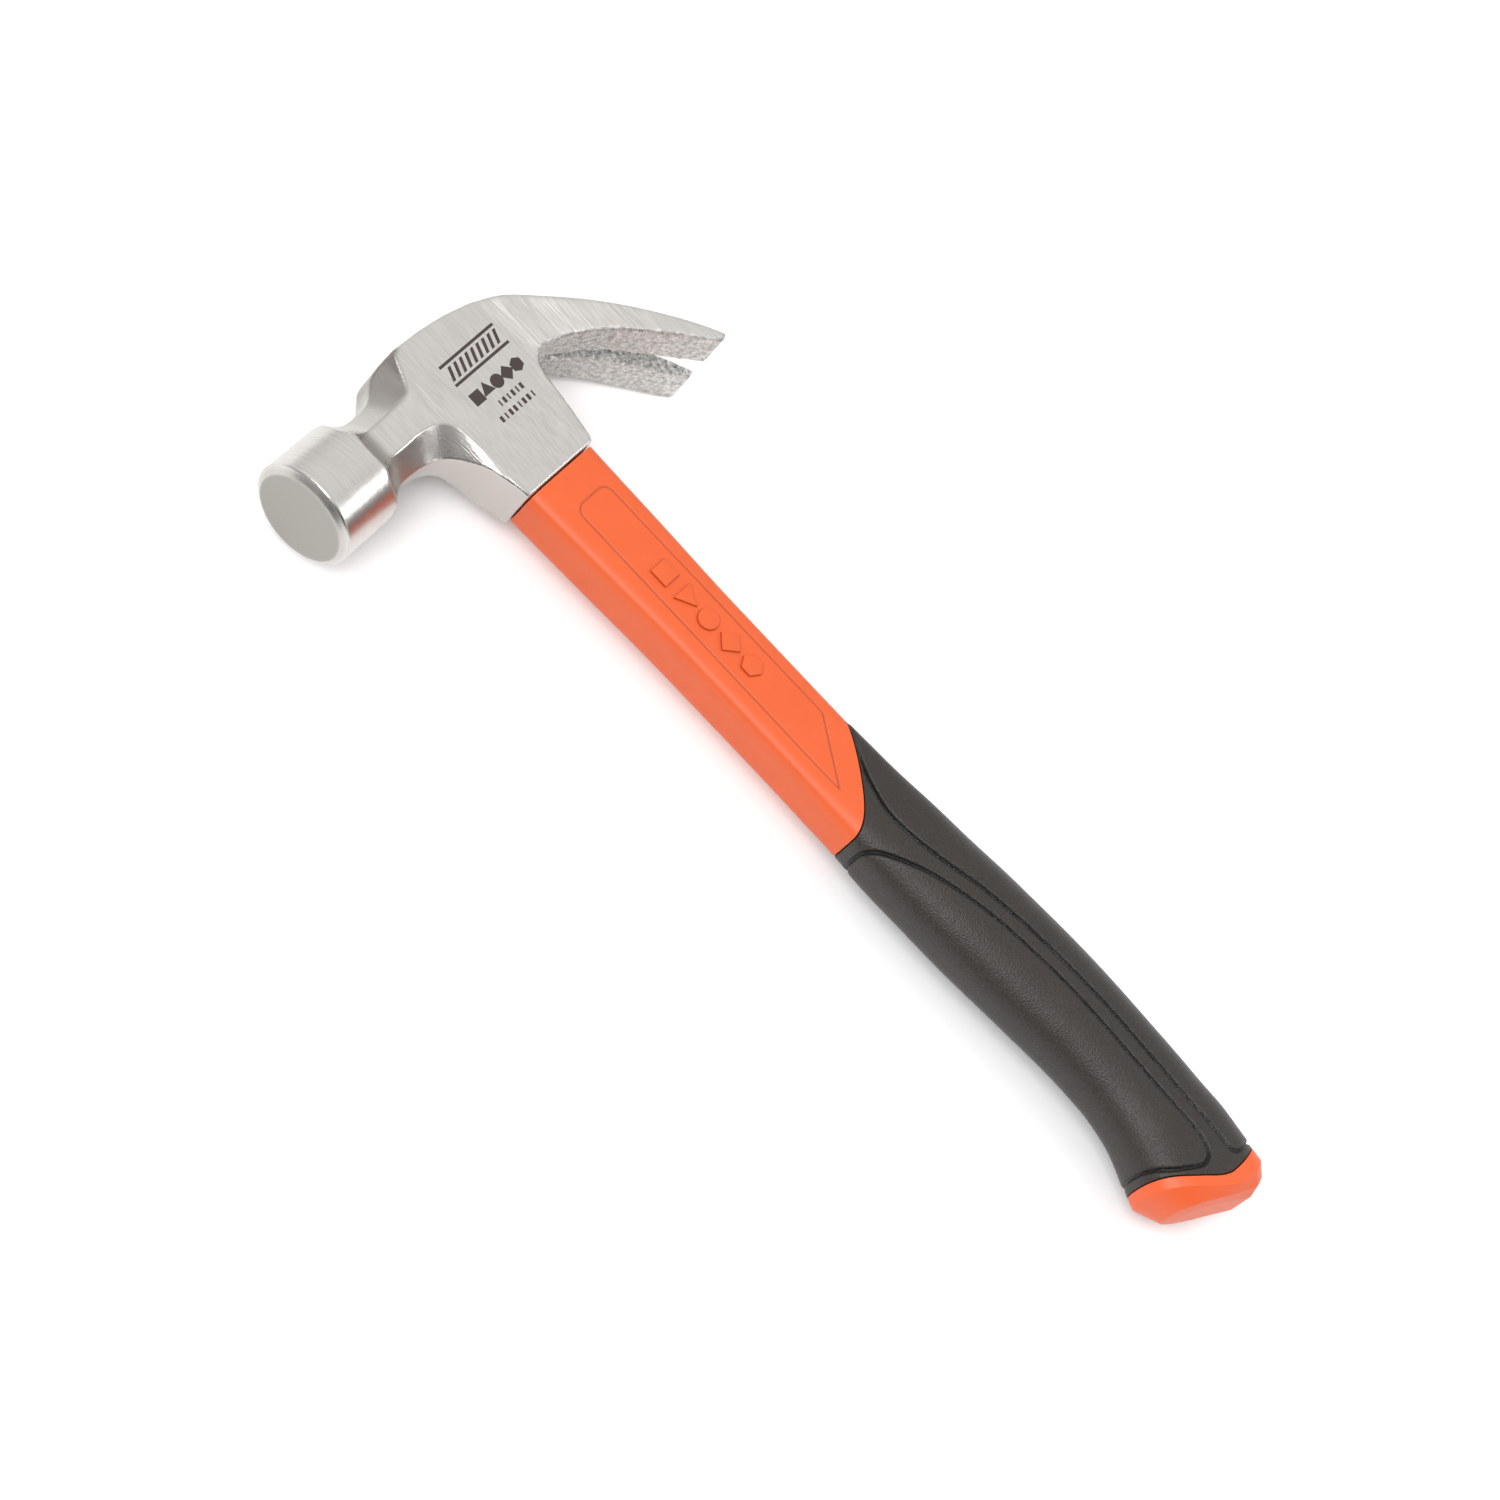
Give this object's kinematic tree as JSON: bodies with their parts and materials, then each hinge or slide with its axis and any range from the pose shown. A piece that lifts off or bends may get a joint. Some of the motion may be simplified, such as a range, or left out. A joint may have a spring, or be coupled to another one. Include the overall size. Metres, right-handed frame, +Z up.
{
  "type": "claw hammer",
  "caption": "Carpenter's claw hammer: round striking face on an eight-sided neck, curved V-slot claw, glass-fibre handle with moulded jacket, rubber grip and sloped butt cap.",
  "frame": {"origin": "middle of the underside of the hammer's box as it lies on its side, on the plane it lies on", "axes": "+X from the head to the butt, +Y towards the claws so that the striking face looks along -Y, +Z up through the near cheek"},
  "size_m": [0.3328, 0.1318, 0.0397],
  "materials": {
    "ground_steel": "ground and belt-brushed forged steel, as-forged inside the claws",
    "glass_fibre": "pultruded glass fibre, sawn end",
    "epoxy_resin": "cast",
    "jacket_plastic": "satin moulded polypropylene",
    "grip_rubber": "fine-grained moulded thermoplastic rubber",
    "butt_plastic": "satin moulded polypropylene"
  },
  "bodies": {
    "root": {"head": "ground_steel", "handle_core": "glass_fibre", "eye_bond": "epoxy_resin", "jacket": "jacket_plastic", "grip": "grip_rubber", "butt_cap": "butt_plastic"}
  },
  "joints": []
}
